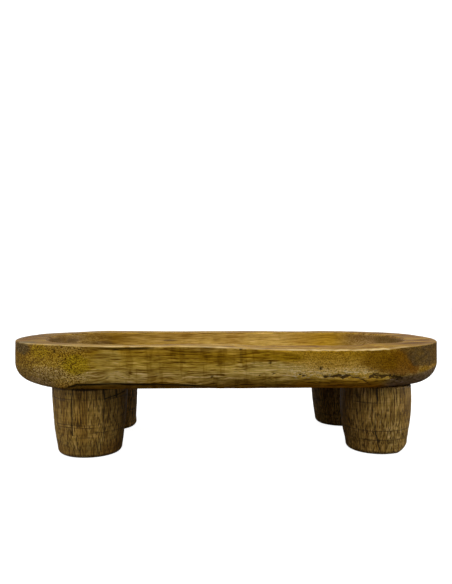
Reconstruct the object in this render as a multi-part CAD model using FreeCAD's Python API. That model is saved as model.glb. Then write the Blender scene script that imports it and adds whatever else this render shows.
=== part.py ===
import FreeCAD, Part
import math
import os

# A low wooden headrest: one thick oblong dish, hollowed on top, on four short turned legs.
# Each leg is held to the dish by a round peg glued into a blind socket in both pieces.
# Millimetres. The origin is on the ground under the middle of the dish, +X runs along the
# dish, +Y towards its back and +Z up.

# Whole object
LENGTH = 400.0
WIDTH = 192.0
LEG_HEIGHT = 59.5
DISH_THICKNESS = 36.5

# Dish: straight long sides joined by half-elliptical ends
END_LENGTH = 77.0
UNDERSIDE_ROUNDING = 18.0
RIM_BAND = 28.0
RIM_OUTER_ROUNDING = 2.0
RIM_INNER_ROUNDING = 2.5
HOLLOW_DEPTH = 16.0
HOLLOW_COVE = 14.0

# Legs: turned one by one, so each has its own place and its own three radii,
# at the top, at the middle and just above the foot
LEGS = {
    "front_left": {"centre": (-126.0, -49.0), "radii": (32.8, 31.1, 27.6)},
    "front_right": {"centre": (129.5, -54.0), "radii": (30.8, 30.8, 26.0)},
    "rear_left": {"centre": (-124.0, 49.5), "radii": (31.9, 31.7, 30.2)},
    "rear_right": {"centre": (126.5, 54.0), "radii": (31.2, 30.4, 26.6)},
}
LEG_MIDDLE = 32.0
FOOT_ROUNDING = 5.0
LEG_TOP_CHAMFER = 0.8

# Pegs and their sockets, with a glue gap all round and a little air at both ends
PEG_RADIUS = 6.0
PEG_CHAMFER = 1.0
PEG_IN_DISH = 12.0
PEG_IN_LEG = 16.0
GLUE_GAP = 0.05
SOCKET_AIR = 1.0

CUT_MARGIN = 1.0

TOP = LEG_HEIGHT + DISH_THICKNESS
HOLLOW_FLOOR = TOP - HOLLOW_DEPTH
UP = FreeCAD.Vector(0, 0, 1)


def half_ellipse(end_x, end_length, half_width, z):
    """The curved end beyond end_x, from the back to the front, as an edge."""
    centre = FreeCAD.Vector(end_x, 0, z)
    side = FreeCAD.Vector(end_x, half_width, z)
    tip = FreeCAD.Vector(end_x + end_length, 0, z)
    return Part.Arc(Part.Ellipse(side, tip, centre), 0.0, math.pi).toShape()


def oblong(half_length, half_width, end_length, z, height):
    """A solid of the dish's plan shape, standing on z."""
    end_x = half_length - end_length
    back = Part.LineSegment(
        FreeCAD.Vector(-end_x, half_width, z), FreeCAD.Vector(end_x, half_width, z)
    ).toShape()
    right = half_ellipse(end_x, end_length, half_width, z)
    half_turn = FreeCAD.Rotation(UP, 180)
    middle = FreeCAD.Placement(FreeCAD.Vector(0, 0, 0), half_turn)
    front = back.transformed(middle.toMatrix())
    left = right.transformed(middle.toMatrix())
    outline = Part.Wire(Part.sortEdges([back, right, front, left])[0])
    return Part.Face(outline).extrude(FreeCAD.Vector(0, 0, height))


def edges_at(shape, z):
    """The edges that lie in the horizontal plane at z."""
    return [
        edge
        for edge in shape.Edges
        if abs(edge.BoundBox.ZMin - z) < 0.01 and abs(edge.BoundBox.ZMax - z) < 0.01
    ]


def hollow():
    """What is carved out of the dish: an inset oblong with a coved bottom edge."""
    half_length = LENGTH / 2 - RIM_BAND
    half_width = WIDTH / 2 - RIM_BAND
    end_length = END_LENGTH - RIM_BAND
    height = HOLLOW_DEPTH + CUT_MARGIN
    tool = oblong(half_length, half_width, end_length, HOLLOW_FLOOR, height)
    return tool.makeFillet(HOLLOW_COVE, edges_at(tool, HOLLOW_FLOOR))


def rim_inner_edges(dish):
    """The edges round the mouth of the hollow."""
    half_width = WIDTH / 2 - RIM_BAND + CUT_MARGIN
    return [edge for edge in edges_at(dish, TOP) if edge.BoundBox.YMax < half_width]


def socket(centre, z, depth):
    """A blind hole for a peg, from z up by depth."""
    mouth = FreeCAD.Vector(centre[0], centre[1], z)
    return Part.makeCylinder(PEG_RADIUS + GLUE_GAP, depth, mouth, UP)


def make_dish():
    dish = oblong(LENGTH / 2, WIDTH / 2, END_LENGTH, LEG_HEIGHT, DISH_THICKNESS)
    dish = dish.makeFillet(UNDERSIDE_ROUNDING, edges_at(dish, LEG_HEIGHT))
    dish = dish.makeFillet(RIM_OUTER_ROUNDING, edges_at(dish, TOP))
    dish = dish.cut(hollow())
    dish = dish.makeFillet(RIM_INNER_ROUNDING, rim_inner_edges(dish))
    for leg in LEGS.values():
        dish = dish.cut(socket(leg["centre"], LEG_HEIGHT, PEG_IN_DISH + SOCKET_AIR))
    return dish


def make_leg(centre, radii):
    """A turned leg: one long arc from the shoulder to the foot, with a rounded foot edge."""
    top_radius, middle_radius, foot_radius = radii
    shoulder = FreeCAD.Vector(top_radius, 0, LEG_HEIGHT - LEG_TOP_CHAMFER)
    middle = FreeCAD.Vector(middle_radius, 0, LEG_MIDDLE)
    ankle = FreeCAD.Vector(foot_radius, 0, FOOT_ROUNDING)
    corner = FOOT_ROUNDING * (1 - math.sqrt(0.5))
    toe = FreeCAD.Vector(foot_radius - corner, 0, corner)
    sole = FreeCAD.Vector(foot_radius - FOOT_ROUNDING, 0, 0)
    ground = FreeCAD.Vector(0, 0, 0)
    summit = FreeCAD.Vector(0, 0, LEG_HEIGHT)
    top_edge = FreeCAD.Vector(top_radius - LEG_TOP_CHAMFER, 0, LEG_HEIGHT)
    profile = Part.Wire(
        [
            Part.LineSegment(ground, sole).toShape(),
            Part.Arc(sole, toe, ankle).toShape(),
            Part.Arc(ankle, middle, shoulder).toShape(),
            Part.LineSegment(shoulder, top_edge).toShape(),
            Part.LineSegment(top_edge, summit).toShape(),
            Part.LineSegment(summit, ground).toShape(),
        ]
    )
    leg = Part.Face(profile).revolve(ground, UP, 360)
    depth = PEG_IN_LEG + SOCKET_AIR
    leg = leg.cut(socket((0, 0), LEG_HEIGHT - depth, depth + CUT_MARGIN))
    leg.translate(FreeCAD.Vector(centre[0], centre[1], 0))
    return leg


def make_peg(centre):
    """A round peg with chamfered ends, standing half in the leg and half in the dish."""
    base = FreeCAD.Vector(centre[0], centre[1], LEG_HEIGHT - PEG_IN_LEG)
    peg = Part.makeCylinder(PEG_RADIUS, PEG_IN_LEG + PEG_IN_DISH, base, UP)
    ends = edges_at(peg, base.z) + edges_at(peg, LEG_HEIGHT + PEG_IN_DISH)
    return peg.makeChamfer(PEG_CHAMFER, ends)


def single_solid(shape):
    """The one solid that a sub-part's shape is made of."""
    if len(shape.Solids) != 1 or not shape.isValid():
        raise ValueError("a sub-part is not one valid solid")
    return shape.Solids[0]


def main():
    os.makedirs("parts", exist_ok=True)
    pieces = {"dish": make_dish()}
    for name, leg in LEGS.items():
        pieces["leg_" + name] = make_leg(leg["centre"], leg["radii"])
        pieces["peg_" + name] = make_peg(leg["centre"])
    for node, shape in pieces.items():
        solid = single_solid(shape)
        solid.exportStep("parts/" + node + ".step")
        print(node, "volume", round(solid.Volume / 1000, 1), "cm3")


main()
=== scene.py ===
import math

import bmesh
import bpy
import numpy as np
from mathutils import Matrix, Vector


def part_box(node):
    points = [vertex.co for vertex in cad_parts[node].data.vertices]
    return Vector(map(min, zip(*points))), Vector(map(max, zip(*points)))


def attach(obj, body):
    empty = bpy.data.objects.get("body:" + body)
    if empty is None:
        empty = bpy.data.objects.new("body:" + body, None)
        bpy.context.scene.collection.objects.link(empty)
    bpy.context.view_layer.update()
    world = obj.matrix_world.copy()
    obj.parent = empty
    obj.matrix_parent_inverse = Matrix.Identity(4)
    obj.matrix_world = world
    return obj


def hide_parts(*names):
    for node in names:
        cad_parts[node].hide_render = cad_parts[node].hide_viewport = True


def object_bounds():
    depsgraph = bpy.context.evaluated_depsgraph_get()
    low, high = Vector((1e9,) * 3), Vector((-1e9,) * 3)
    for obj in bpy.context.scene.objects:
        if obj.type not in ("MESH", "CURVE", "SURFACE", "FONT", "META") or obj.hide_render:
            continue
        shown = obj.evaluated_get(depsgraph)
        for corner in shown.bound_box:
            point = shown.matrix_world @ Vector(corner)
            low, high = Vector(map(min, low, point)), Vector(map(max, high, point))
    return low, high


# The looks of a low wooden headrest: an oblong dish on four turned legs.
# Meshes and wood are worked out in millimetres, in the frame of the solids, and MM turns
# them into metres. +X runs along the dish, -Y is its front, and Z = 0 is under its feet.

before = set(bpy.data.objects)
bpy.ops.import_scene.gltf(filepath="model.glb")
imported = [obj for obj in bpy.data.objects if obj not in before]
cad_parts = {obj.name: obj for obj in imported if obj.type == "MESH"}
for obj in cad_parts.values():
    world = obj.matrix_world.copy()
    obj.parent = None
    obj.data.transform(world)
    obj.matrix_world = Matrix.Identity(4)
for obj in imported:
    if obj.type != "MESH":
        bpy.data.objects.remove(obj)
cad_low, cad_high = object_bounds()

MM = 0.001
LEGS = ("front_left", "front_right", "rear_left", "rear_right")

dish_low, dish_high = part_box("dish")
HALF_LENGTH = (dish_high.x - dish_low.x) / 2 / MM
HALF_WIDTH = (dish_high.y - dish_low.y) / 2 / MM
UNDERSIDE = dish_low.z / MM
TOP = dish_high.z / MM

# The dish's section, as in its solid: the length of its half-elliptical ends, the rounding
# of its lower edge, the rim's width, and the hollow's depth, cove and rounded lip
END_LENGTH = 77.0
END_X = HALF_LENGTH - END_LENGTH
ROUNDING = 18.0
RIM_BAND = 28.0
HOLLOW_DEPTH = 16.0
COVE = 16.0
LIP = 3.0


# ---------------------------------------------------------------- noise and curves


def lattice(x, y, z, seed):
    """A repeatable random number from 0 to 1 at each whole-number point."""
    h = (x * 374761393 + y * 668265263 + z * 1440662683 + seed * 1274126177) & 0xFFFFFFFF
    h = ((h ^ (h >> 13)) * 1103515245) & 0xFFFFFFFF
    return ((h ^ (h >> 16)) & 0xFFFF) / 65535.0


def noise(points, size, seed):
    """A smooth random field from -1 to 1 whose lumps are size = (x, y, z) mm long."""
    scaled = np.asarray(points, float) / np.asarray(size, float)
    cell = np.floor(scaled).astype(np.int64)
    part = scaled - cell
    part = part * part * (3 - 2 * part)
    total = np.zeros(scaled.shape[:-1])
    for corner in np.ndindex(2, 2, 2):
        weight = np.ones(scaled.shape[:-1])
        for axis in range(3):
            weight = weight * np.abs(1 - corner[axis] - part[..., axis])
        place = cell + np.array(corner)
        total += weight * lattice(place[..., 0], place[..., 1], place[..., 2], seed)
    return total * 2 - 1


def step(x, low, high):
    """0 below low, 1 above high, and smooth between them. low may be the larger."""
    t = np.clip((x - low) / (high - low), 0, 1)
    return t * t * (3 - 2 * t)


def hump(x, rise, full, fade, end):
    """1 between full and fade, falling smoothly to 0 at rise and end."""
    return step(x, rise, full) * (1 - step(x, fade, end))


# ---------------------------------------------------------------- meshes


# Points closer than this, in mm, are one point
WELD = 0.002


def grid_object(name, rows, marks):
    """A closed skin through rows of points, each row a loop, as an object in metres. marks
    are the numbers that the wood reads at each point."""
    count, columns = rows.shape[:2]
    upper, here = np.meshgrid(np.arange(1, count), np.arange(columns), indexing="ij")
    after = (here + 1) % columns
    corners = [(upper - 1, here), (upper - 1, after), (upper, after), (upper, here)]
    faces = np.stack([row * columns + column for row, column in corners], -1)
    mesh = bpy.data.meshes.new(name)
    mesh.from_pydata((rows.reshape(-1, 3) * MM).tolist(), [], faces.reshape(-1, 4).tolist())
    for mark, values in marks.items():
        attribute = mesh.attributes.new(mark, "FLOAT", "POINT")
        attribute.data.foreach_set("value", values.reshape(-1).astype(np.float32))
    work = bmesh.new()
    work.from_mesh(mesh)
    bmesh.ops.remove_doubles(work, verts=work.verts, dist=WELD * MM)
    bmesh.ops.dissolve_degenerate(work, edges=work.edges, dist=WELD / 2 * MM)
    bmesh.ops.recalc_face_normals(work, faces=work.faces)
    for face in work.faces:
        face.smooth = True
    work.to_mesh(mesh)
    work.free()
    piece = bpy.data.objects.new(name, mesh)
    bpy.context.scene.collection.objects.link(piece)
    return piece


def normals_of(rows):
    """Unit outward normals of a grid of rows, by differences between neighbours."""
    along = np.roll(rows, -1, 1) - np.roll(rows, 1, 1)
    up = np.gradient(rows, axis=0)
    out = np.cross(along, up)
    length = np.linalg.norm(out, axis=-1, keepdims=True)
    return out / np.maximum(length, 1e-9)


# ---------------------------------------------------------------- dish

# The columns' distance along the side, and the rows of each part of the section, from the
# middle of the underside to the middle of the hollow
SIDE_STEP = 1.1
FLAT_ROWS = 7
LOWER_ROWS = 16
SIDE_ROWS = 17
ARRIS_ROWS = 4
RIM_ROWS = 14
LIP_ROWS = 5
COVE_ROWS = 13
FLOOR_ROWS = 12

# Powers that space the rows unevenly, on the underside and on the hollow's floor
FLAT_SPACING = 1.3
FLOOR_SPACING = 0.8

# The planed facet under the front left: how far in its lower and its upper edge lie, and
# the share of the lower rows that it takes
FACET_INSET = 15.0
FACET_TOP_INSET = 1.2
FACET_SHARE = 0.4

# The rounding of the rim's outer edge
ARRIS = 0.7

# How deep the damage goes, and how far the rough places stand out
CREASE_DEPTH = 0.6
SEAM_DEPTH = 0.6
PIT_DEPTH = 1.2
GOUGE_RELIEF = 0.2
FRAY_RELIEF = 0.3

# Small holes and nicks: x, y, z and radius
PITS = (
    (-149.2, -90.0, 91.4, 1.2),
    (27.2, -96.0, 82.4, 1.2),
    (69.4, -96.0, 77.3, 1.5),
    (2.7, -96.0, 94.0, 1.0),
    (-21.0, -96.0, 71.0, 1.0),
    (60.0, 95.8, 80.0, 1.5),
    (-88.0, 95.8, 73.0, 1.7),
    (-60.0, 20.0, 80.0, 1.3),
)


def dish_columns():
    """Where each column of the skin stands: (x of its end's centre, share of the end's
    length, share of the half width), going round from the front left corner."""
    straight = np.linspace(-END_X, END_X, round(2 * END_X / SIDE_STEP), endpoint=False)
    perimeter = math.pi * math.hypot(END_LENGTH, HALF_WIDTH) / math.sqrt(2)
    turn = np.linspace(-math.pi / 2, math.pi / 2, round(perimeter / SIDE_STEP), endpoint=False)
    zero, one = np.zeros_like(straight), np.ones_like(straight)
    front = np.stack([straight, zero, -one], 1)
    right = np.stack([np.full_like(turn, END_X), np.cos(turn), np.sin(turn)], 1)
    back = np.stack([-straight, zero, one], 1)
    left = np.stack([np.full_like(turn, -END_X), -np.cos(turn), -np.sin(turn)], 1)
    return np.concatenate([front, right, back, left])


def ring(columns, inset, pinch, height):
    """One loop of points: inset mm in from the side, then drawn in towards the middle line
    by pinch, from 0 to 1."""
    length = (END_LENGTH - inset) * (1 - pinch)
    width = (HALF_WIDTH - inset) * (1 - pinch)
    x = columns[:, 0] + columns[:, 1] * length
    y = columns[:, 2] * width
    return np.stack([x, y, np.broadcast_to(height, x.shape)], 1)


def crease_height(x):
    """How far the crease at the facet's top stands above the underside."""
    places = (-165, -142, -130, -98, -69, -40, -23, 5)
    return np.interp(x, places, (1.0, 1.5, 5.5, 6.1, 5.4, 4.6, 3.7, 3.0))


def seam_heights(x):
    """The heights of the two torn seams low on the front right: a long one, and the one
    that starts above its right end."""
    places = (12, 22, 39, 52, 60, 69, 77, 84, 94, 102, 108, 113)
    heights = (71.5, 72.5, 74.0, 73.4, 71.5, 73.0, 71.0, 72.4, 71.5, 69.6, 66.8, 65.0)
    places_right = (108, 114, 121, 127, 131, 140, 150)
    heights_right = (71.5, 72.6, 71.8, 72.8, 71.5, 70.5, 71.0)
    return np.interp(x, places, heights), np.interp(x, places_right, heights_right)


def rim_drop(x):
    """How far below the top the front of the side ends, under the rim's worn edge. It
    stands proud near the left end, and is lowest and finely notched right of the middle."""
    places = (-178, -160, -140, -128, -110, -50, -23, 7, 37, 67, 107, 128, 140, 160, 190)
    drops = (0.5, -0.2, -0.5, 0.0, 0.5, 0.4, 1.2, 2.4, 3.7, 4.1, 4.0, 3.1, 1.8, 1.0, 0.6)
    notched = 0.3 * np.sin(x / 1.6) * np.sin(x / 4.3 + 1) * hump(x, 55, 75, 125, 145)
    return np.interp(x, places, drops) + notched


def dish_rows(columns):
    """The dish's skin before any tool marks, from the middle of the underside round the
    edge to the middle of the hollow."""
    wall = ring(columns, 0.0, 0.0, TOP)
    x, front = wall[:, 0], step(wall[:, 1], -20, -70)
    slow = noise(wall, (45, 45, 45), 11)

    # the rim: a crisp outer edge, and worn down to the right of the middle of the front
    arris = ARRIS + 0.2 * noise(wall, (14, 14, 14), 13)
    plain_drop = 0.2 * slow - 0.3 * step(x, -60, -100) + 0.5 * step(x, -135, -160)
    plain_drop = plain_drop + 0.35 * hump(x, 40, 70, 95, 115)
    outer_drop = plain_drop + (rim_drop(x) - arris - plain_drop) * front
    inner_drop = 1.7 * front * hump(x, -12, 24, 105, 124)
    inner_drop = inner_drop + 0.9 * front * hump(x, -135, -110, -80, -20)
    lip_start = RIM_BAND - LIP * 0.5 - 1.8 * step(x, -150, -190)

    # the lower edge: rounded as high as radius and as far in as reach, flatter at both ends
    # of the front, and planed to a creased facet at the front left
    crease = front * hump(x, -165, -132, -45, 5)
    places = (-150, -20, 20, 60, 80, 100, 108, 116, 140, 165, 190)
    heights = (17.5, 14.0, 14.0, 13.5, 12.5, 10.5, 9.5, 12.0, 12.5, 14.0, 17.5)
    rounding = np.interp(x, places, heights)
    places = (-190, -165, -150, -20, 100, 120, 135, 150, 170, 190)
    insets = (16.0, 15.0, 16.0, 14.0, 14.0, 15.0, 18.5, 20.0, 16.7, 16.8)
    reaching = np.interp(x, places, insets)
    planed = front * (0.15 * step(x, 120, 145) + 0.22 * step(x, -160, -180))
    plain = ROUNDING - 1.0 + 1.2 * noise(wall, (60, 60, 60), 12)
    radius = plain + (rounding - plain) * front
    reach = plain + (reaching - plain) * front
    facet_rise = crease_height(x)

    rows = []
    edge = reach + (FACET_INSET - reach) * crease
    for share in np.linspace(1, 0, FLAT_ROWS, endpoint=False):
        rows.append(ring(columns, edge, share**FLAT_SPACING, UNDERSIDE))
    for share in np.linspace(0, 1, LOWER_ROWS):
        angle = share * math.pi / 2
        inset = reach * (1 - math.sin(angle) + (math.sin(angle) - share) * planed)
        rise = radius * (1 - math.cos(angle) + (share + math.cos(angle) - 1) * planed)
        up = min(share / FACET_SHARE, 1)
        beyond = max(share - FACET_SHARE, 0) / (1 - FACET_SHARE)
        planed_inset = FACET_INSET + (FACET_TOP_INSET - FACET_INSET) * up
        planed_inset = planed_inset - FACET_TOP_INSET * beyond**0.6
        planed_rise = facet_rise * up + (ROUNDING - facet_rise) * beyond
        inset = inset + (planed_inset - inset) * crease
        rise = rise + (planed_rise - rise) * crease
        rows.append(ring(columns, inset, 0.0, UNDERSIDE + rise))
    start = rows[-1][:, 2]
    side_top = TOP - outer_drop - arris
    for share in np.linspace(0, 1, SIDE_ROWS + 1)[1:]:
        rows.append(ring(columns, 0.0, 0.0, start + (side_top - start) * share))
    for share in np.linspace(0, 1, ARRIS_ROWS + 1)[1:]:
        angle = share * math.pi / 2
        inset = arris * (1 - math.cos(angle))
        rows.append(ring(columns, inset, 0.0, side_top + arris * math.sin(angle)))
    for share in np.linspace(0, 1, RIM_ROWS + 1)[1:]:
        inset = arris + (lip_start - arris) * share
        drop = outer_drop + (inner_drop - outer_drop) * share
        rows.append(ring(columns, inset, 0.0, TOP - drop))
    for share in np.linspace(0, 1, LIP_ROWS + 1)[1:]:
        angle = share * math.pi / 2
        inset = lip_start + LIP * math.sin(angle)
        rows.append(ring(columns, inset, 0.0, TOP - inner_drop - LIP * (1 - math.cos(angle))))
    wall_inset = lip_start + LIP
    wall_top = TOP - LIP - inner_drop
    floor = TOP - HOLLOW_DEPTH
    for share in np.linspace(0, 1, COVE_ROWS + 1)[1:]:
        angle = share * math.pi / 2
        inset = wall_inset + COVE * (1 - math.cos(angle))
        rows.append(ring(columns, inset, 0.0, wall_top - (wall_top - floor) * math.sin(angle)))
    for share in np.linspace(0, 1, FLOOR_ROWS + 1)[1:]:
        rows.append(ring(columns, wall_inset + COVE, share**FLOOR_SPACING, floor))
    return np.array(rows)


def crease_line(points):
    """How deep the groove along the front left crease is at each point, from 0 to 1. It also sets
    the painted shade along the crease.
    """
    x, y, z = points[..., 0], points[..., 1], points[..., 2]
    crease = UNDERSIDE + crease_height(x) - 0.2 + 0.3 * noise(points, (13, 60, 60), 26)
    width = 0.7 + 0.3 * noise(points, (17, 60, 60), 27)
    near = step(np.abs(z - crease), width * 1.8, width * 0.6)
    return near * (y < -70) * hump(x, -146, -134, -45, -8)


def seam_share(points):
    """How near each point is to a torn seam low on the front right, from 0 to 1. The tears
    are ragged, wider in some places than in others, and broken towards the middle."""
    x, y, z = points[..., 0], points[..., 1], points[..., 2]
    long_seam, right_seam = seam_heights(x)
    ragged = 1.3 * noise(points, (2.6, 60, 60), 22) + 0.6 * noise(points, (6, 60, 60), 23)
    uneven = 1 + noise(points, (4.5, 60, 60), 24)
    width = 0.25 + 0.5 * uneven + 1.8 * uneven * hump(x, 68, 73, 85, 99)
    below = long_seam + ragged - z
    first = step(below, -0.7, 0.1) * step(below, width + 0.9, width * 0.5)
    first = first * hump(x, 8, 22, 108, 112)
    first = first * np.maximum(step(noise(points, (6, 50, 50), 25), 0.0, 0.4), step(x, 67, 73))
    below = right_seam + 1.2 * ragged - z
    width = 1.2 + 2.6 * uneven * uneven
    second = step(below, -0.7, 0.1) * step(below, width + 1.6, width * 0.5)
    second = 0.9 * second * hump(x, 106, 112, 136, 146)
    hanging = np.maximum(hump(x, 110, 114, 120, 126), hump(x, 127, 130, 134, 141))
    second = np.maximum(second, 0.66 * hanging * step(below, -0.6, 0.2) * step(below, 6.0, 3.0))
    return np.maximum(first, second) * (y < -40)


def stain(points):
    """The dark stain on the right of the front, from 0 to 1: sharp along its lower left."""
    x, y, z = points[..., 0], points[..., 1], points[..., 2]
    wobble = 1.2 * noise(points, (5, 9, 4), 51)
    across = (z - 90.0 + 1.2 * (x - 142.0)) / 1.56
    soft = 1.0 + 3.5 * step(z, 84, 93)
    inside = step(across + wobble, -soft, soft) * step(z + wobble * 0.7, 76.5, 79.0)
    return inside * (1 - 0.35 * step(x, 168, 188)) * step(y, -40, -60)


def lower_right_shade(points):
    """Painted shade on the greyish, downward lower edge at the front right, from 0 to 1."""
    x, y, z = points[..., 0], points[..., 1], points[..., 2]
    line = np.interp(x, (120, 131, 147, 165, 180, 192), (67.5, 69.0, 71.0, 72.8, 74.8, 77.0))
    inside = step(z, line + 0.6, line - 1.0) * step(x, 118, 132)
    return inside * step(y, -20, -50)


def rim_line(points):
    """The dark line right under the rim's front edge, left of the middle, from 0 to 1."""
    x, y, z = points[..., 0], points[..., 1], points[..., 2]
    depth = TOP - rim_drop(x) - z - 0.3 * noise(points, (9, 60, 60), 28)
    width = np.interp(x, (-120, -108, -100, -80), (0.9, 1.1, 1.7, 1.3))
    near = step(depth, width + 0.8, width) * step(depth, -0.1, 0.4)
    return near * (y < -80) * hump(x, -126, -100, -78, -60)


def shine(x):
    """How much of the rim's front arris is painted pale, partly as wear and partly as a painted
    highlight, from 0 to 1.
    """
    left = ((-190, 0.15), (-165, 0.3), (-140, 0.4), (-118, 0.8), (-95, 0.8), (-80, 0.3))
    middle = ((-60, 0.55), (-30, 0.3), (-15, 0.55), (0, 0.3), (30, 0.3), (45, 0.7))
    right = ((62, 0.7), (80, 0.5), (92, 1.0), (122, 1.0), (134, 0.5), (150, 0.1))
    places, shares = zip(*left, *middle, *right)
    return np.interp(x, places, shares)


def pits(points):
    """How deep each point is in a small hole or nick, from 0 to 1."""
    deep = np.zeros(points.shape[:-1])
    for x, y, z, radius in PITS:
        away = np.linalg.norm(points - np.array([x, y, z]), axis=-1)
        deep = np.maximum(deep, step(away, radius * 1.3, radius * 0.3))
    return deep


def make_dish():
    """The dish as one closed skin, with the marks that its wood reads."""
    columns = dish_columns()
    rows = dish_rows(columns)
    outward = normals_of(rows)
    flat_from = FLAT_ROWS + 1
    arris_from = FLAT_ROWS + LOWER_ROWS + SIDE_ROWS
    rim_from = arris_from + ARRIS_ROWS
    hollow_from = rim_from + RIM_ROWS
    number = np.arange(len(rows))[:, None] * np.ones(rows.shape[1])
    x, y, z = rows[..., 0], rows[..., 1], rows[..., 2]

    # hand work: slow swells, tool facets, and raised grain along the fibres
    swell = 0.3 * noise(rows, (70, 50, 40), 31) + 0.14 * noise(rows, (22, 17, 14), 32)
    swell = swell + 0.4 * step(np.abs(x), 150, 195)
    facets = 0.06 * noise(rows, (6, 6, 5), 33)
    grain = 0.05 * noise(rows, (16, 1.7, 1.7), 34) + 0.04 * noise(rows, (40, 2.6, 2.6), 35)
    hollow = step(number, hollow_from + 0.5, hollow_from + 3)
    gouges = GOUGE_RELIEF * hollow * noise(rows, (26, 7, 9), 36)
    crease = crease_line(rows)
    seam = seam_share(rows)
    frayed = hump(z, 62, 66, 71, 75) * hump(x, 55, 68, 108, 140) * (y < -60)
    holes = pits(rows)
    lift = swell + facets + grain + gouges - CREASE_DEPTH * crease - SEAM_DEPTH * seam
    lift = lift - PIT_DEPTH * holes + FRAY_RELIEF * frayed * noise(rows, (3.4, 3, 2.4), 38)
    working = step(number, flat_from - 1, flat_from + 1)
    rim = step(number, arris_from, rim_from) * step(number, hollow_from + 3, hollow_from)
    # the rim's front arris painted pale: partly wear, partly a painted highlight where the edge
    # faces the light, stronger on the front
    worn_and_highlight = hump(number, arris_from - 1, arris_from + 1, rim_from, rim_from + 2)
    worn_and_highlight = worn_and_highlight * (0.45 + 0.55 * step(y, -30, -70))
    worn_and_highlight = np.clip(worn_and_highlight * shine(x) * (1 + 0.9 * noise(rows, (5, 12, 12), 37)), 0, 1)
    marks = {
        # the dark holes, the dark line under the rim, and painted shade along the crease at the
        # lower front left
        "crease_shade_and_dark_marks": np.maximum(np.maximum(rim_line(rows), holes), crease),
        "stain": stain(rows) * step(number, arris_from + 2, arris_from - 1),
        "lower_right_shade": lower_right_shade(rows),
        "frayed": hump(z, 68, 71, 75, 79) * hump(x, 30, 50, 98, 124) * (y < -60),
        "seam": seam,
        "rim": rim,
        "hollow": hollow,
        "worn_and_highlight": worn_and_highlight,
        "end": np.abs(outward[..., 0]),
    }
    rows = rows + outward * (lift * working)[..., None]
    rows[-1] = ring(columns, 0.0, 1.0, rows[-1][:, 2].mean())
    return grid_object("dish_carved", rows, marks)


# ---------------------------------------------------------------- legs

LEG_COLUMNS = 420
SOLE_ROWS = 6
FOOT_ROWS = 14
SHANK_ROWS = 105
TOP_ROWS = 5

# The foot's finer rows go this high
FOOT_BAND = 5.0

# The peg's socket, as in the solid
SOCKET_RADIUS = 6.05
SOCKET_DEPTH = 17.0

# How deep the rings and cracks go, and how high the painted shade in the gap at the joint with the
# dish reaches
GROOVE_DEPTH = 0.25
JOINT_HEIGHT = 1.9

# Faint rings left by the lathe tool: heights in mm, per leg
TOOL_RINGS = {
    "front_left": (50.3, 28.6, 26.4, 22.1, 18.3),
    "front_right": (46.0, 21.5, 13.4),
    "rear_left": (44.0, 19.0),
    "rear_right": (40.0, 26.5, 12.0),
}

# Drying cracks on the front of the legs, in mm: from (x, z) to (x, z) and half the width,
# with x from the leg's axis
LEG_CRACKS = {
    "front_left": (
        (-9.9, 60, -10.6, 52, 0.65),
        (-10.6, 52, -10.6, 20, 0.8),
        (15.2, 61, 15.8, 50, 0.95),
        (15.6, 50, 15.2, 14, 0.45),
        (24.6, 60, 25.0, 51, 0.8),
        (16.0, 50.5, 30.5, 54.0, 0.6),
        (9.4, 14, 9.8, 4, 0.5),
        (12.0, 17, 12.3, 5, 0.5),
    ),
    "front_right": (
        (-8.0, 60, -8.4, 46, 0.7),
        (-9.6, 38, -9.2, 22, 0.5),
        (-9.2, 22, -5.0, 5, 0.7),
        (8.6, 60, 9.0, 46, 0.45),
    ),
    "rear_left": (),
    "rear_right": (),
}

# How far each foot leans to +x, and how far it spreads, in mm
FOOT_LEAN = {"front_left": 0.35, "front_right": 0.6, "rear_left": 0.0, "rear_right": 0.0}
FOOT_SPREAD = {"front_left": 0.0, "front_right": 0.7, "rear_left": 1.0, "rear_right": 0.0}

# How deep the chip is in each foot's front edge, near its +x side, in mm
FOOT_CHIP = {"front_left": 0.0, "front_right": 1.6, "rear_left": 0.0, "rear_right": 0.0}

# How pale each leg is from its -x side round to its +x side, from 0 to 1: painted shade on the
# sides that face in under the dish and on the rear right leg, and painted light on the rear left
# leg
LEG_PAINTED_SHADES = {
    "front_left": (0.5, 0.74, 0.74, 0.22),
    "front_right": (0.12, 0.42, 0.52, 0.55),
    "rear_left": (1.0, 1.0, 1.0, 1.0),
    "rear_right": (0.3, 0.3, 0.3, 0.3),
}

# And how much darker it is at the foot
FOOT_SHADE = {"front_left": 0.4, "front_right": 0.0, "rear_left": 0.0, "rear_right": 0.0}

# How marked each leg's grain is, from 0 to 1
LEG_GRAIN = {"front_left": 0.55, "front_right": 1.0, "rear_left": 1.0, "rear_right": 0.8}

# The side from which the painted shade at each leg's joint with the dish shows, as the cosine of
# the angle from +x
JOINT_SIDE = {"front_left": -1.5, "front_right": 0.1, "rear_left": -1.5, "rear_right": -1.5}


def leg_skin(node):
    """A leg's centre and its outer skin (heights, radii), read from its solid."""
    low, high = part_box(node)
    centre = np.array([(low.x + high.x) / 2, (low.y + high.y) / 2]) / MM
    points = np.array([v.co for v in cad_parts[node].data.vertices]) / MM
    radius = np.hypot(points[:, 0] - centre[0], points[:, 1] - centre[1])
    outer = radius > SOCKET_RADIUS * 2
    height, radius = points[outer, 2], radius[outer]
    order = np.lexsort((radius, height))
    return centre, height[order], radius[order]


def crack_share(across, height, cracks):
    """How near each point is to a crack, from 0 to 1."""
    share = np.zeros_like(height)
    for x0, z0, x1, z1, width in cracks:
        run, rise = x1 - x0, z1 - z0
        along = ((across - x0) * run + (height - z0) * rise) / (run * run + rise * rise)
        along = np.clip(along, 0, 1)
        away = np.hypot(across - x0 - along * run, height - z0 - along * rise)
        share = np.maximum(share, step(away, width, width * 0.4))
    return share


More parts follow.
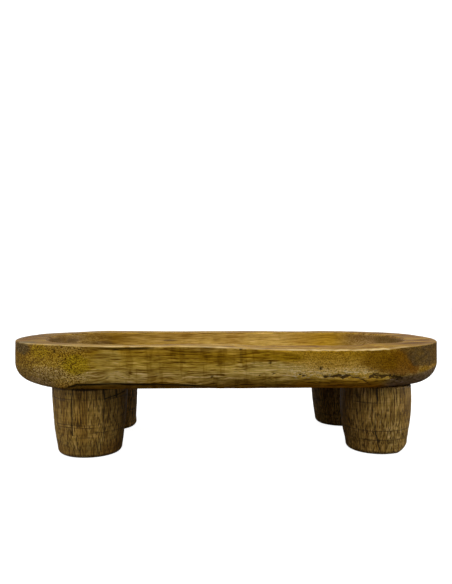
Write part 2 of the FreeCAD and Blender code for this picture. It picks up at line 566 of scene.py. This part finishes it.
def make_leg(name, seed):
    """A leg as one closed skin with its peg's socket, and the marks that its wood reads."""
    centre, heights, radii = leg_skin("leg_" + name)
    top = heights.max()
    foot = radii[heights < 0.01].max()
    shoulder = radii[heights > top - 0.01].max()
    low_rows = np.linspace(0, FOOT_BAND, FOOT_ROWS)[1:]
    climb = np.concatenate([low_rows, np.linspace(FOOT_BAND, top, SHANK_ROWS)[1:]])
    profile = [(foot * share, 0.0) for share in np.linspace(0, 1, SOLE_ROWS)]
    profile += [(np.interp(z, heights, radii), z) for z in climb]
    profile += [(r, top) for r in np.linspace(shoulder, SOCKET_RADIUS, TOP_ROWS)]
    profile += [(SOCKET_RADIUS, top - SOCKET_DEPTH), (0.0, top - SOCKET_DEPTH)]
    profile = np.array(profile)
    outer = np.zeros(len(profile))
    outer[SOLE_ROWS : SOLE_ROWS + len(climb)] = 1
    outer[SOLE_ROWS] = 0.4

    # turned nearly round, with furrows along the grain and rings from the lathe
    angle = np.linspace(0, 2 * math.pi, LEG_COLUMNS, endpoint=False)
    radius = profile[:, :1] * np.ones_like(angle)
    height = profile[:, 1:] * np.ones_like(angle)
    around = np.stack([np.cos(angle) * radius, np.sin(angle) * radius, height], -1)
    moved = around + np.array([seed * 97.0, seed * 41.0, 0])
    oval = 0.12 * np.cos(2 * angle + seed) + 0.12 * noise(moved, (30, 30, 40), 41)
    furrows = 0.08 * noise(moved, (1.8, 1.8, 26), 42) + 0.09 * noise(moved, (1.0, 1.0, 12), 43)
    turning = 0.05 * noise(moved, (500, 500, 1.1), 44) + 0.07 * noise(moved, (90, 90, 3.0), 45)
    grooves = np.zeros_like(radius)
    for z in TOOL_RINGS[name]:
        waver = z + 0.4 * noise(moved, (14, 14, 60), 46)
        depth = step(noise(moved, (13, 13, 2), 47), -0.4, 0.3)
        grooves = np.maximum(grooves, depth * step(np.abs(height - waver), 0.6, 0.15))

    # drying cracks, a foot that spreads or is chipped, and a lean
    wobble = 0.35 * noise(moved, (5, 5, 5), 49)
    cracks = crack_share(around[..., 0] + wobble, height + wobble, LEG_CRACKS[name])
    cracks = cracks * (around[..., 1] < 0)
    depths = np.maximum(grooves, cracks)
    spread = FOOT_SPREAD[name] * step(height, 12, 3)
    side = np.cos(angle) * np.ones_like(radius)
    chip = FOOT_CHIP[name] * step(height, 7, 2) * hump(side, 0.5, 0.75, 0.97, 1.05)
    chip = chip * step(around[..., 1], 0, -4)
    lift = (oval + furrows + turning + spread - chip - GROOVE_DEPTH * depths) * outer[:, None]
    lean = FOOT_LEAN[name] * step(height, 22, 4) * outer[:, None]
    around[..., 0] += np.cos(angle) * lift + lean + centre[0]
    around[..., 1] += np.sin(angle) * lift + centre[1]

    # painted shade in the gap where the leg meets the dish
    joint_shade = step(height, top - JOINT_HEIGHT, top - JOINT_HEIGHT + 0.8)
    joint_shade = joint_shade * step(noise(moved, (16, 16, 300), 48), -0.6, 0.1)
    joint_shade = joint_shade * step(side, JOINT_SIDE[name] - 0.2, JOINT_SIDE[name] + 0.2)
    # painted shade and light round each leg, darker on its sides under the dish, and darker at the
    # foot
    shade = np.interp(side, (-0.9, -0.3, 0.3, 0.85), LEG_PAINTED_SHADES[name])
    shade = shade - FOOT_SHADE[name] * step(height, 20, 4)
    grain = LEG_GRAIN[name] * np.ones_like(radius)
    marks = {"ringed": grooves, "cracked": cracks, "joint_shade": joint_shade, "shade": shade, "grain": grain}
    return grid_object("leg_" + name + "_turned", around, marks)


# ---------------------------------------------------------------- wood


# How much of a patch's own tone shows, and how ragged its edge is
PATCH_SHARE = 0.85
PATCH_RAGGED = 0.9


class Wood:
    """The nodes of one material, with short names for the ones that it is made of. Noise
    and marks run from 0 to 1, and place is the point of the wood in mm."""

    def __init__(self, name):
        self.material = bpy.data.materials.new(name)
        self.material.use_nodes = True
        self.tree = self.material.node_tree
        self.tree.nodes.clear()
        place = self.add("ShaderNodeTexCoord").outputs["Object"]
        self.place = self.scaled(place, (1 / MM,) * 3)

    def add(self, kind, inputs=(), **settings):
        node = self.tree.nodes.new(kind)
        for key, value in settings.items():
            setattr(node, key, value)
        for key, value in dict(inputs).items():
            if isinstance(value, bpy.types.NodeSocket):
                self.tree.links.new(value, node.inputs[key])
            else:
                node.inputs[key].default_value = value
        return node

    def vector(self, operation, a, b=(0, 0, 0)):
        node = self.add("ShaderNodeVectorMath", {0: a, 1: b}, operation=operation)
        return node.outputs["Value" if operation == "LENGTH" else "Vector"]

    def scaled(self, a, factors):
        return self.vector("MULTIPLY", a, factors)

    def math(self, operation, a, b=0.0, c=0.0):
        return self.add("ShaderNodeMath", {0: a, 1: b, 2: c}, operation=operation).outputs[0]

    def times(self, a, b):
        return self.math("MULTIPLY", a, b)

    def split(self, a):
        return self.add("ShaderNodeSeparateXYZ", {0: a}).outputs

    def mark(self, name):
        """What the mesh says at this point about name, from 0 to 1."""
        return self.add("ShaderNodeAttribute", attribute_name=name).outputs["Fac"]

    def noise(self, place, size, detail=2.0, rough=0.5, output="Fac"):
        """Noise whose lumps are size = (x, y, z) mm long, from 0 to 1."""
        place = self.scaled(place, tuple(1 / s for s in size))
        inputs = {"Vector": place, "Scale": 1.0, "Detail": detail, "Roughness": rough}
        return self.add("ShaderNodeTexNoise", inputs).outputs[output]

    def drift(self, place, size, reach):
        """A smooth push of up to about reach = (x, y, z) mm that changes over size mm."""
        noise = self.noise(place, size, 1.0, 0.5, "Color")
        middled = self.vector("SUBTRACT", noise, (0.5, 0.5, 0.5))
        return self.scaled(middled, tuple(2 * r for r in reach))

    def cells(self, place, size, output="Distance"):
        """Distance to the nearest of many random points, size = (x, y, z) mm apart."""
        place = self.scaled(place, tuple(1 / s for s in size))
        inputs = {"Vector": place, "Scale": 1.0, "Randomness": 1.0}
        return self.add("ShaderNodeTexVoronoi", inputs).outputs[output]

    def between(self, value, low, high, start=0.0, end=1.0):
        """value's smooth step from start at low to end at high."""
        inputs = {"Value": value, 1: low, 2: high, 3: start, 4: end}
        node = self.add("ShaderNodeMapRange", inputs, interpolation_type="SMOOTHSTEP")
        return node.outputs[0]

    def mix(self, share, a, b, blend="MIX"):
        """Colour a turned into b by share."""
        inputs = {0: share, 6: a, 7: b}
        node = self.add("ShaderNodeMix", inputs, data_type="RGBA", blend_type=blend)
        return node.outputs[2]

    def tinted(self, colour, share, tint):
        """colour times tint where share is 1."""
        return self.mix(share, colour, (*tint, 1), "MULTIPLY")

    def streaked(self, colour, field, share, dark, pale):
        """colour with its streaks or flecks, as strong as share: dark where field is low and
        pale where it is high. dark and pale are each (field where it starts, where it is
        full, tint)."""
        for start, full, tint in (dark, pale):
            colour = self.tinted(colour, self.between(field, start, full, 0.0, share), tint)
        return colour

    def stained(self, colour, share, strength, tone):
        """colour turned into tone by share times strength."""
        return self.mix(self.times(share, strength), colour, (*tone, 1))

    def ramp(self, value, stops):
        """The colour at value along stops, each (value, colour), in rising order."""
        low, high = stops[0][0], stops[-1][0]
        share = self.add("ShaderNodeMapRange", {"Value": value, 1: low, 2: high}).outputs[0]
        node = self.add("ShaderNodeValToRGB", {"Fac": share})
        elements = node.color_ramp.elements
        elements[0].color = (*stops[0][1], 1)
        elements[1].color = (*stops[-1][1], 1)
        for place, colour in stops[1:-1]:
            elements.new((place - low) / (high - low)).color = (*colour, 1)
        return node.outputs["Color"]

    def dots(self, place, size, low, high, share=1.0):
        """Dark pores: 1 inside a random point's spot, 0 outside, some left out."""
        near = self.between(self.cells(place, size), low, high, 1.0, 0.0)
        chance = self.split(self.cells(place, size, "Color"))[0]
        return self.times(near, self.between(chance, 1 - share, 1.05 - share))

    def patch(self, colour, edge, centre, radii, tone):
        """Turns colour into tone inside a soft spot of the wood. edge, round 0, makes the
        spot's edge ragged."""
        offset = self.vector("SUBTRACT", self.place, centre)
        away = self.vector("LENGTH", self.scaled(offset, tuple(1 / r for r in radii)))
        away = self.math("MULTIPLY_ADD", edge, PATCH_RAGGED, away)
        share = self.between(away, 0.65, 1.15, PATCH_SHARE, 0.0)
        return self.mix(share, colour, (*tone, 1))

    def finish(self, colour, rough, height, depth, specular):
        """Closes the material: height, from 0 to 1, is depth mm of relief."""
        relief = {"Height": height, "Distance": depth * MM, "Strength": 1.0}
        bump = self.add("ShaderNodeBump", relief)
        inputs = {
            "Base Color": colour,
            "Roughness": rough,
            "Normal": bump.outputs[0],
            "Specular IOR Level": specular,
        }
        shader = self.add("ShaderNodeBsdfPrincipled", inputs)
        self.add("ShaderNodeOutputMaterial", {0: shader.outputs[0]})
        return self.material


# The dish's own colour: on its sides by height, for the left and the right, and in its
# hollow and on its rim by x
LEFT_TONES = (
    (60, (0.36, 0.155, 0.006)),
    (66, (0.44, 0.257, 0.036)),
    (72, (0.50, 0.323, 0.065)),
    (78, (0.48, 0.30, 0.036)),
    (84, (0.46, 0.275, 0.024)),
    (90, (0.41, 0.225, 0.012)),
    (96, (0.40, 0.23, 0.03)),
)
RIGHT_TONES = (
    (60, (0.42, 0.160, 0.001)),
    (66, (0.50, 0.285, 0.024)),
    (70, (0.61, 0.385, 0.060)),
    (73, (0.66, 0.43, 0.100)),
    (78, (0.56, 0.33, 0.047)),
    (84, (0.50, 0.276, 0.021)),
    (90, (0.48, 0.25, 0.009)),
    (96, (0.42, 0.24, 0.03)),
)
HOLLOW_TONES = (
    (-195, (0.40, 0.27, 0.090)),
    (-165, (0.50, 0.345, 0.115)),
    (-145, (0.31, 0.19, 0.035)),
    (-122, (0.27, 0.145, 0.010)),
    (-90, (0.35, 0.205, 0.030)),
    (-20, (0.46, 0.285, 0.052)),
    (60, (0.52, 0.33, 0.066)),
    (115, (0.40, 0.22, 0.012)),
    (140, (0.29, 0.17, 0.030)),
    (165, (0.42, 0.275, 0.090)),
    (195, (0.29, 0.18, 0.065)),
)
RIM_TONES = (
    (-195, (0.205, 0.10, 0.003)),
    (-130, (0.37, 0.21, 0.018)),
    (-60, (0.42, 0.24, 0.024)),
    (60, (0.42, 0.235, 0.023)),
    (130, (0.36, 0.198, 0.018)),
    (195, (0.31, 0.155, 0.011)),
)

# Big marks in the dish's wood: centre, radii, tone
DISH_MARKS = (
    ((-182, -60, 92.5), (15, 24, 6), (0.14, 0.092, 0.024)),
    ((-131, -95, 81), (12, 12, 9), (0.43, 0.268, 0.006)),
    ((-163, -82, 91), (13, 12, 6), (0.40, 0.235, 0.008)),
    ((-168, -76, 65), (24, 20, 5), (0.44, 0.27, 0.075)),
    ((-155, -86, 74), (22, 14, 6), (0.42, 0.265, 0.060)),
    ((-106, -96, 86), (12, 8, 8), (0.50, 0.32, 0.050)),
    ((-100, -96, 71), (30, 12, 6), (0.55, 0.37, 0.090)),
    ((-43, -96, 91), (14, 8, 4), (0.28, 0.145, 0.004)),
    ((-19, -96, 87), (17, 8, 5), (0.34, 0.182, 0.006)),
    ((20, -96, 89), (18, 8, 4), (0.40, 0.22, 0.008)),
    ((42, -96, 87), (15, 8, 4), (0.39, 0.215, 0.005)),
    ((27, -96, 78), (32, 8, 6), (0.58, 0.40, 0.090)),
    ((2.7, -96, 88), (1.1, 8, 6), (0.29, 0.165, 0.012)),
    ((139, -94, 82), (20, 14, 13), (0.200, 0.075, 0.001)),
    ((119, -96, 84), (17, 14, 11), (0.235, 0.108, 0.002)),
    ((152, -89, 77), (8, 8, 6), (0.22, 0.085, 0.003)),
    ((165, -82, 75), (10, 10, 3), (0.33, 0.17, 0.006)),
    ((-189, -27, 96), (6, 22, 3), (0.26, 0.12, 0.012)),
    ((188, 12, 96), (8, 26, 3), (0.27, 0.125, 0.012)),
    ((-59, 66, 88), (10, 6, 0.9), (0.14, 0.08, 0.025)),
    ((64, -73.5, 94), (9, 0.9, 3), (0.16, 0.095, 0.03)),
    ((-169, 16, 89), (8, 22, 6), (0.22, 0.14, 0.045)),
    ((-160, 42, 87), (9, 12, 5), (0.22, 0.14, 0.045)),
    ((-143, 59, 86), (20, 12, 2), (0.18, 0.105, 0.02)),
    ((-158, 44, 89.6), (10, 9, 1.6), (0.17, 0.10, 0.03)),
    ((-130, 64, 85.2), (12, 9, 2.2), (0.15, 0.085, 0.018)),
    ((-118, 65, 83), (14, 9, 2.2), (0.17, 0.098, 0.018)),
    ((165, 26, 90), (9, 18, 6), (0.19, 0.115, 0.028)),
    ((169, 6, 90), (7, 14, 5), (0.19, 0.115, 0.028)),
)


# The dish's stain, the painted shade on its greyish lower edge, its pores, and its damage with the
# painted highlight on its worn edge and the painted shade in its crease
STAIN_TONE = (0.12, 0.070, 0.016)
LOWER_RIGHT_SHADE_TONE = (0.19, 0.12, 0.055)
PORE_TONE = (0.05, 0.026, 0.003)
WORN_AND_HIGHLIGHT_TONE = (0.80, 0.60, 0.26)
CREASE_SHADE_AND_DARK_MARK_TONE = (0.010, 0.005, 0.001)
FRAYED_TONE = (0.85, 0.68, 0.38)
SEAM_TONE = (0.045, 0.022, 0.006)


def dish_base(wood, x):
    """The dish's own colour with its big marks, before the streaks. The tint of its end grain
    makes it darker, and painted shade darkens the hollow's steep ends."""
    hollow, rim = wood.mark("hollow"), wood.mark("rim")
    shift = wood.drift(wood.place, (45, 25, 22), (18, 0, 6))
    across, _, up = wood.split(wood.vector("ADD", wood.place, shift))
    right = wood.between(across, -10, 60)
    colour = wood.mix(right, wood.ramp(up, LEFT_TONES), wood.ramp(up, RIGHT_TONES))
    colour = wood.mix(rim, colour, wood.ramp(across, RIM_TONES))
    colour = wood.mix(hollow, colour, wood.ramp(across, HOLLOW_TONES))
    colour = wood.tinted(colour, wood.between(wood.mark("end"), 0.3, 0.95), (0.58, 0.50, 0.36))
    edge = wood.math("SUBTRACT", wood.noise(wood.place, (8, 5, 4), 3.0, 0.6), 0.5)
    for centre, radii, tone in DISH_MARKS:
        colour = wood.patch(colour, edge, centre, radii, tone)
    blots = wood.between(wood.noise(wood.place, (6, 6, 3.5), 3.0, 0.65), 0.35, 0.6, 0.74, 0.97)
    colour = wood.stained(colour, wood.mark("stain"), blots, STAIN_TONE)
    # painted shade on the downward lower edge at the front right
    colour = wood.stained(colour, wood.mark("lower_right_shade"), 0.85, LOWER_RIGHT_SHADE_TONE)
    # painted shade on the steep ends of the hollow
    deep = wood.times(wood.between(wood.math("ABSOLUTE", x), 146, 160), hollow)
    return wood.tinted(colour, deep, (0.84, 0.83, 0.78))


def dish_damage(wood, colour, fibre):
    """The dish's pale worn edge with its painted highlight, its dark holes and line under the rim,
    the painted shade along its crease, and its tears with their frayed fibres.
    """
    colour = wood.stained(colour, wood.mark("worn_and_highlight"), 0.9, WORN_AND_HIGHLIGHT_TONE)
    # dark holes and lines, and painted shade along the crease
    colour = wood.mix(wood.mark("crease_shade_and_dark_marks"), colour, (*CREASE_SHADE_AND_DARK_MARK_TONE, 1))
    frays = wood.noise(fibre, (5.0, 2.0, 1.1), 2.0, 0.6)
    frays = wood.times(wood.between(frays, 0.52, 0.66), wood.mark("frayed"))
    colour = wood.stained(colour, frays, 0.8, FRAYED_TONE)
    seam = wood.mark("seam")
    tatters = wood.noise(wood.place, (2.4, 4, 1.3), 3.0, 0.65)
    tear = wood.math("MULTIPLY_ADD", wood.math("SUBTRACT", tatters, 0.5), 2.0, seam)
    tear = wood.times(wood.between(tear, 0.4, 0.7), wood.between(seam, 0.0, 0.2))
    return wood.stained(colour, tear, 0.92, SEAM_TONE)


def dish_wood():
    """The dish's material."""
    wood = Wood("dish_wood")
    x, _, z = wood.split(wood.place)
    hollow, rim = wood.mark("hollow"), wood.mark("rim")
    side = wood.math("SUBTRACT", wood.math("SUBTRACT", 1.0, rim), hollow)
    from_middle = wood.math("ABSOLUTE", x)
    colour = dish_base(wood, x)

    # fibres run along x, waver a little, and ripple low on the sides
    waver = wood.drift(wood.place, (50, 30, 20), (0, 3, 2.5))
    wavering = wood.vector("ADD", wood.place, waver)
    ripple = wood.drift(wood.place, (14, 40, 11), (0, 0, 2.6))
    ripple = wood.mix(wood.between(z, 77.0, 70.0), (0, 0, 0, 1), ripple)
    fibre = wood.vector("ADD", wavering, ripple)

    # bars across the fibres on the sides, from the left to past the middle, and broad streaks
    # along them in the hollow and on the rim, with narrower ones on the rim's ends
    bars = wood.noise(wood.place, (4.5, 200, 22), 2.0)
    barred = wood.times(wood.between(x, -112, -95), wood.between(x, 45, 20, 0.0, 0.85))
    barred = wood.times(barred, side)
    colour = wood.tinted(colour, wood.between(bars, 0.52, 0.36, 0.0, barred), (0.66, 0.60, 0.40))
    broad = wood.noise(wavering, (50, 11, 60), 3.0, 0.6)
    inside = wood.math("MULTIPLY_ADD", hollow, 0.6, rim)
    dark, pale = (0.50, 0.36, (0.68, 0.57, 0.38)), (0.52, 0.66, (1.22, 1.27, 1.50))
    colour = wood.streaked(colour, broad, inside, dark, pale)
    narrow = wood.noise(wavering, (30, 4.5, 60), 3.0, 0.6)
    rim_ends = wood.times(wood.between(from_middle, 130, 160), rim)
    dark, pale = (0.49, 0.36, (0.55, 0.44, 0.26)), (0.50, 0.64, (1.50, 1.58, 1.95))
    colour = wood.streaked(colour, narrow, rim_ends, dark, pale)

    # thin streaks everywhere, fainter in the hollow, and faint where the wood is speckled:
    # on the sides' left end, and on their right half above the lower edge
    calm = wood.between(wood.math("SUBTRACT", hollow, rim), 0.0, 1.0, 1.0, 0.6)
    specks = wood.times(wood.between(x, 28, 64), wood.between(z, 67, 72))
    specks = wood.math("MAXIMUM", wood.between(x, -115, -129), specks)
    specks = wood.times(specks, wood.between(side, 0.0, 1.0, 0.25, 1.0))
    lined = wood.times(calm, wood.between(specks, 0.0, 1.0, 1.0, 0.25))
    streaks = wood.noise(fibre, (34, 1.8, 1.4), 3.0, 0.65)
    dark, pale = (0.50, 0.34, (0.50, 0.42, 0.24)), (0.52, 0.68, (1.40, 1.48, 2.20))
    colour = wood.streaked(colour, streaks, wood.times(lined, 0.9), dark, pale)
    fine = wood.noise(fibre, (16, 1.0, 0.85), 2.0, 0.6)
    dark, pale = (0.48, 0.36, (0.38, 0.29, 0.12)), (0.53, 0.65, (1.45, 1.52, 2.50))
    colour = wood.streaked(colour, fine, lined, dark, pale)

    # dark and pale flecks where it is speckled, and coarser ones on the sides' far ends
    grain = wood.vector("ADD", wood.place, wood.drift(wood.place, (6, 6, 5), (1.2, 1.2, 1.2)))
    flecks = wood.noise(grain, (1.1, 1.1, 0.85), 1.0, 0.6)
    dotted = wood.times(wood.times(specks, calm), wood.between(x, -20, 20, 1.0, 0.58))
    dark, pale = (0.48, 0.36, (0.30, 0.22, 0.10)), (0.52, 0.64, (1.50, 1.62, 2.90))
    colour = wood.streaked(colour, flecks, dotted, dark, pale)
    coarse = wood.noise(grain, (3.2, 3.2, 1.5), 2.0, 0.6)
    side_ends = wood.times(wood.between(from_middle, 150, 172), side)
    dark, pale = (0.48, 0.36, (0.52, 0.46, 0.36)), (0.52, 0.64, (1.40, 1.45, 1.70))
    colour = wood.streaked(colour, coarse, side_ends, dark, pale)

    # pores: short dashes along the fibres, or dots where it is speckled
    dashes = wood.dots(fibre, (7, 1.3, 1.1), 0.14, 0.34, 0.5)
    dashes = wood.times(dashes, wood.times(lined, 0.5))
    dots = wood.dots(grain, (1.7, 1.7, 1.5), 0.24, 0.42, 0.8)
    dots = wood.times(dots, wood.times(dotted, 0.85))
    pores = wood.math("MAXIMUM", dashes, dots)
    colour = wood.mix(pores, colour, (*PORE_TONE, 1))
    colour = dish_damage(wood, colour, fibre)

    rough = wood.between(streaks, 0.2, 0.8, 0.5, 0.4)
    height = wood.math("SUBTRACT", wood.times(fine, 0.4), wood.times(pores, 0.6))
    return wood.finish(colour, rough, height, 0.25, 0.02)


# The legs' two tones, their tints of painted shade and light from dark to pale, and the tones of
# their pores and marks, one of them the painted shade in the joint with the dish
LEG_DARK = (0.335, 0.186, 0.028, 1)
LEG_PALE = (0.455, 0.278, 0.055, 1)
LEG_SHADE_TINTS = ((0.0, (0.58, 0.47, 0.32)), (0.5, (1, 1, 1)), (1.0, (1.45, 1.36, 1.20)))
LEG_PORE_TONE = (0.02, 0.010, 0.002)
LEG_MARKS = (
    ("ringed", 0.7, (0.04, 0.022, 0.005)),
    ("cracked", 0.9, (0.018, 0.010, 0.003)),
    ("joint_shade", 0.9, (0.02, 0.01, 0.003)),
)


def leg_wood():
    """The legs' material. Their fibres run up."""
    wood = Wood("leg_wood")
    fibre = wood.vector("ADD", wood.place, wood.drift(wood.place, (14, 14, 30), (0.8, 0.8, 0)))
    bands = wood.noise(fibre, (6, 6, 90), 2.0, 0.5)
    streaks = wood.noise(fibre, (1.3, 1.3, 24), 1.0, 0.6)
    fine = wood.noise(fibre, (0.75, 0.75, 9), 1.0, 0.6)
    combed = wood.noise(wood.place, (9, 9, 9), 2.0, 0.5)
    pores = wood.dots(fibre, (1.3, 1.3, 7), 0.16, 0.36, 0.6)
    dust = wood.noise(wood.place, (24, 24, 2.2), 3.0, 0.6)

    # its own colour in bands up the leg, then painted shade and light, darker or paler from one
    # side to the other
    colour = wood.mix(wood.between(bands, 0.35, 0.65), LEG_DARK, LEG_PALE)
    colour = wood.mix(1.0, colour, wood.ramp(wood.mark("shade"), LEG_SHADE_TINTS), "MULTIPLY")

    # streaks up the leg, whose pale ones are as strong as its grain is marked
    grain = wood.mark("grain")
    colour = wood.tinted(colour, wood.between(streaks, 0.49, 0.38, 0.0, 0.8), (0.42, 0.36, 0.26))
    pale = wood.between(streaks, 0.52, 0.64, 0.0, wood.times(grain, 0.85))
    colour = wood.tinted(colour, pale, (1.30, 1.36, 1.90))
    strength = wood.between(combed, 0.35, 0.65, 0.6, 1.0)
    colour = wood.tinted(colour, wood.between(fine, 0.48, 0.37, 0.0, strength), (0.22, 0.19, 0.14))
    pale = wood.between(fine, 0.52, 0.63, 0.0, wood.times(grain, strength))
    colour = wood.tinted(colour, pale, (1.55, 1.62, 2.45))

    # faint rings of dust and shade round the leg, then its pores and marks
    colour = wood.tinted(colour, wood.between(dust, 0.48, 0.66, 0.0, 0.5), (1.30, 1.30, 1.50))
    colour = wood.tinted(colour, wood.between(dust, 0.50, 0.38, 0.0, 0.5), (0.70, 0.68, 0.60))
    colour = wood.stained(colour, pores, 0.85, LEG_PORE_TONE)
    for mark, strength, tone in LEG_MARKS:
        colour = wood.stained(colour, wood.mark(mark), strength, tone)

    rough = wood.between(streaks, 0.2, 0.8, 0.55, 0.42)
    height = wood.math("SUBTRACT", wood.times(fine, 0.6), wood.times(pores, 0.6))
    return wood.finish(colour, rough, height, 0.3, 0.2)


def peg_wood():
    """The pegs' material. Their fibres run up too."""
    wood = Wood("peg_wood")
    streaks = wood.noise(wood.place, (0.8, 0.8, 18), 3.0, 0.6)
    colour = wood.mix(streaks, (0.30, 0.18, 0.08, 1), (0.55, 0.40, 0.22, 1))
    return wood.finish(colour, 0.6, streaks, 0.1, 0.4)


# ---------------------------------------------------------------- the object

dish_material = dish_wood()
leg_material = leg_wood()
peg_material = peg_wood()


def place(piece, node, slot, material):
    """Gives a piece its material, and says which body it rides on and what it replaces."""
    piece.data.materials.clear()
    piece.data.materials.append(material)
    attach(piece, "root")
    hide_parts(node)


place(make_dish(), "dish", "dish_wood", dish_material)
for seed, name in enumerate(LEGS):
    place(make_leg(name, seed), "leg_" + name, "leg_wood", leg_material)
    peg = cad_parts["peg_" + name]
    peg.data.materials.clear()
    peg.data.materials.append(peg_material)


# ---------------------------------------------------------------- studio


def glow(name, strength, grey):
    """A matt material that also shines by itself."""
    material = bpy.data.materials.new(name)
    material.use_nodes = True
    shader = material.node_tree.nodes["Principled BSDF"]
    shader.inputs["Base Color"].default_value = (grey, grey, grey, 1)
    shader.inputs["Roughness"].default_value = 1.0
    shader.inputs["Specular IOR Level"].default_value = 0.0
    shader.inputs["Emission Color"].default_value = (1, 1, 1, 1)
    shader.inputs["Emission Strength"].default_value = strength
    return material


def stage_piece(name, mesh, material, seen):
    """A piece of the stage. Where seen is True only the camera sees it, else only light
    meets it."""
    mesh.materials.append(material)
    piece = bpy.data.objects.new(name, mesh)
    bpy.context.scene.collection.objects.link(piece)
    piece.visible_camera = seen
    piece.visible_diffuse = not seen
    piece.visible_glossy = not seen
    piece.visible_shadow = not seen


def square(name, half, height):
    """A flat square at a height, from -half to half."""
    corners = [(-half, -half), (half, -half), (half, half), (-half, half)]
    mesh = bpy.data.meshes.new(name)
    mesh.from_pydata([(x, y, height) for x, y in corners], [], [(0, 1, 2, 3)])
    return mesh


def globe(name, radius):
    """A ball round the origin."""
    work = bmesh.new()
    bmesh.ops.create_icosphere(work, subdivisions=4, radius=radius)
    mesh = bpy.data.meshes.new(name)
    work.to_mesh(mesh)
    work.free()
    return mesh


def softbox(name, place, size, power):
    """A rectangular light that faces the middle of the object."""
    light = bpy.data.lights.new(name, "AREA")
    light.shape = "RECTANGLE"
    light.size, light.size_y = size
    light.energy = power
    box = bpy.data.objects.new(name, light)
    bpy.context.scene.collection.objects.link(box)
    box.location = place
    aim = Vector((0, 0, cad_high.z * 0.7)) - box.location
    box.rotation_euler = aim.to_track_quat("-Z", "Y").to_euler()
    box.visible_camera = False


FLOOR_HALF = 6.0
BACKDROP_RADIUS = 9.0

# Lights: name, place, size (m) and power (W)
SOFTBOXES = (
    ("key", (0.0, -0.6, 1.5), (1.2, 0.8), 13.5),
    ("front", (0.0, -1.2, 1.2), (1.0, 0.8), 5.5),
    ("left", (-1.4, 0.0, 0.5), (0.8, 0.7), 7.5),
    ("right", (1.4, 0.0, 0.5), (0.8, 0.7), 7.0),
    ("back", (0.0, 1.2, 1.2), (1.2, 0.8), 2.0),
    ("behind", (0.0, 1.7, 0.45), (3.2, 0.9), 6.0),
)


def make_studio():
    """A white room as the camera sees it. The floor that light meets is darker, because
    the real one was too far below the exposure's white to fill the shade under the dish."""
    floor = square("floor", FLOOR_HALF, 0.0)
    stage_piece("floor", floor, glow("floor_white", 0.96, 0.5), True)
    backdrop = globe("backdrop", BACKDROP_RADIUS)
    stage_piece("backdrop", backdrop, glow("backdrop_white", 1.1, 0.0), True)
    below = square("floor_for_light", FLOOR_HALF, -0.0003)
    stage_piece("floor_for_light", below, glow("floor_grey", 0.0, 0.16), False)
    for name, where, size, power in SOFTBOXES:
        softbox(name, where, size, power)
    world = bpy.data.worlds.new("studio")
    world.use_nodes = True
    sky = world.node_tree.nodes["Background"]
    sky.inputs["Color"].default_value = (1, 1, 1, 1)
    sky.inputs["Strength"].default_value = 0.1
    bpy.context.scene.world = world
    bpy.context.scene.view_settings.view_transform = "Standard"


# The camera: its focal length for a picture of that height, how far it stands (m) back
# from the middle, to its own right and up, its turn to the left, and its roll
FOCAL_PIXELS = 586.0
IMAGE_HEIGHT = 584
SENSOR = 36.0
CAMERA_DISTANCE = 0.5765
CAMERA_SIDE = -0.0026
CAMERA_HEIGHT = 0.1407
CAMERA_TURN = math.radians(-4.31)
CAMERA_ROLL = math.radians(0.28)


def make_camera():
    """A level camera in front of the object, a little to its left."""
    data = bpy.data.cameras.new("camera")
    data.sensor_width = SENSOR
    data.lens = SENSOR * FOCAL_PIXELS / IMAGE_HEIGHT
    camera = bpy.data.objects.new("camera", data)
    bpy.context.scene.collection.objects.link(camera)
    ahead = Vector((-math.sin(CAMERA_TURN), math.cos(CAMERA_TURN), 0))
    right = Vector((math.cos(CAMERA_TURN), math.sin(CAMERA_TURN), 0))
    camera.location = right * CAMERA_SIDE - ahead * CAMERA_DISTANCE
    camera.location.z = CAMERA_HEIGHT
    turn = ahead.to_track_quat("-Z", "Y").to_matrix()
    camera.rotation_euler = (turn @ Matrix.Rotation(CAMERA_ROLL, 3, "Z")).to_euler()
    bpy.context.scene.camera = camera


make_studio()
make_camera()
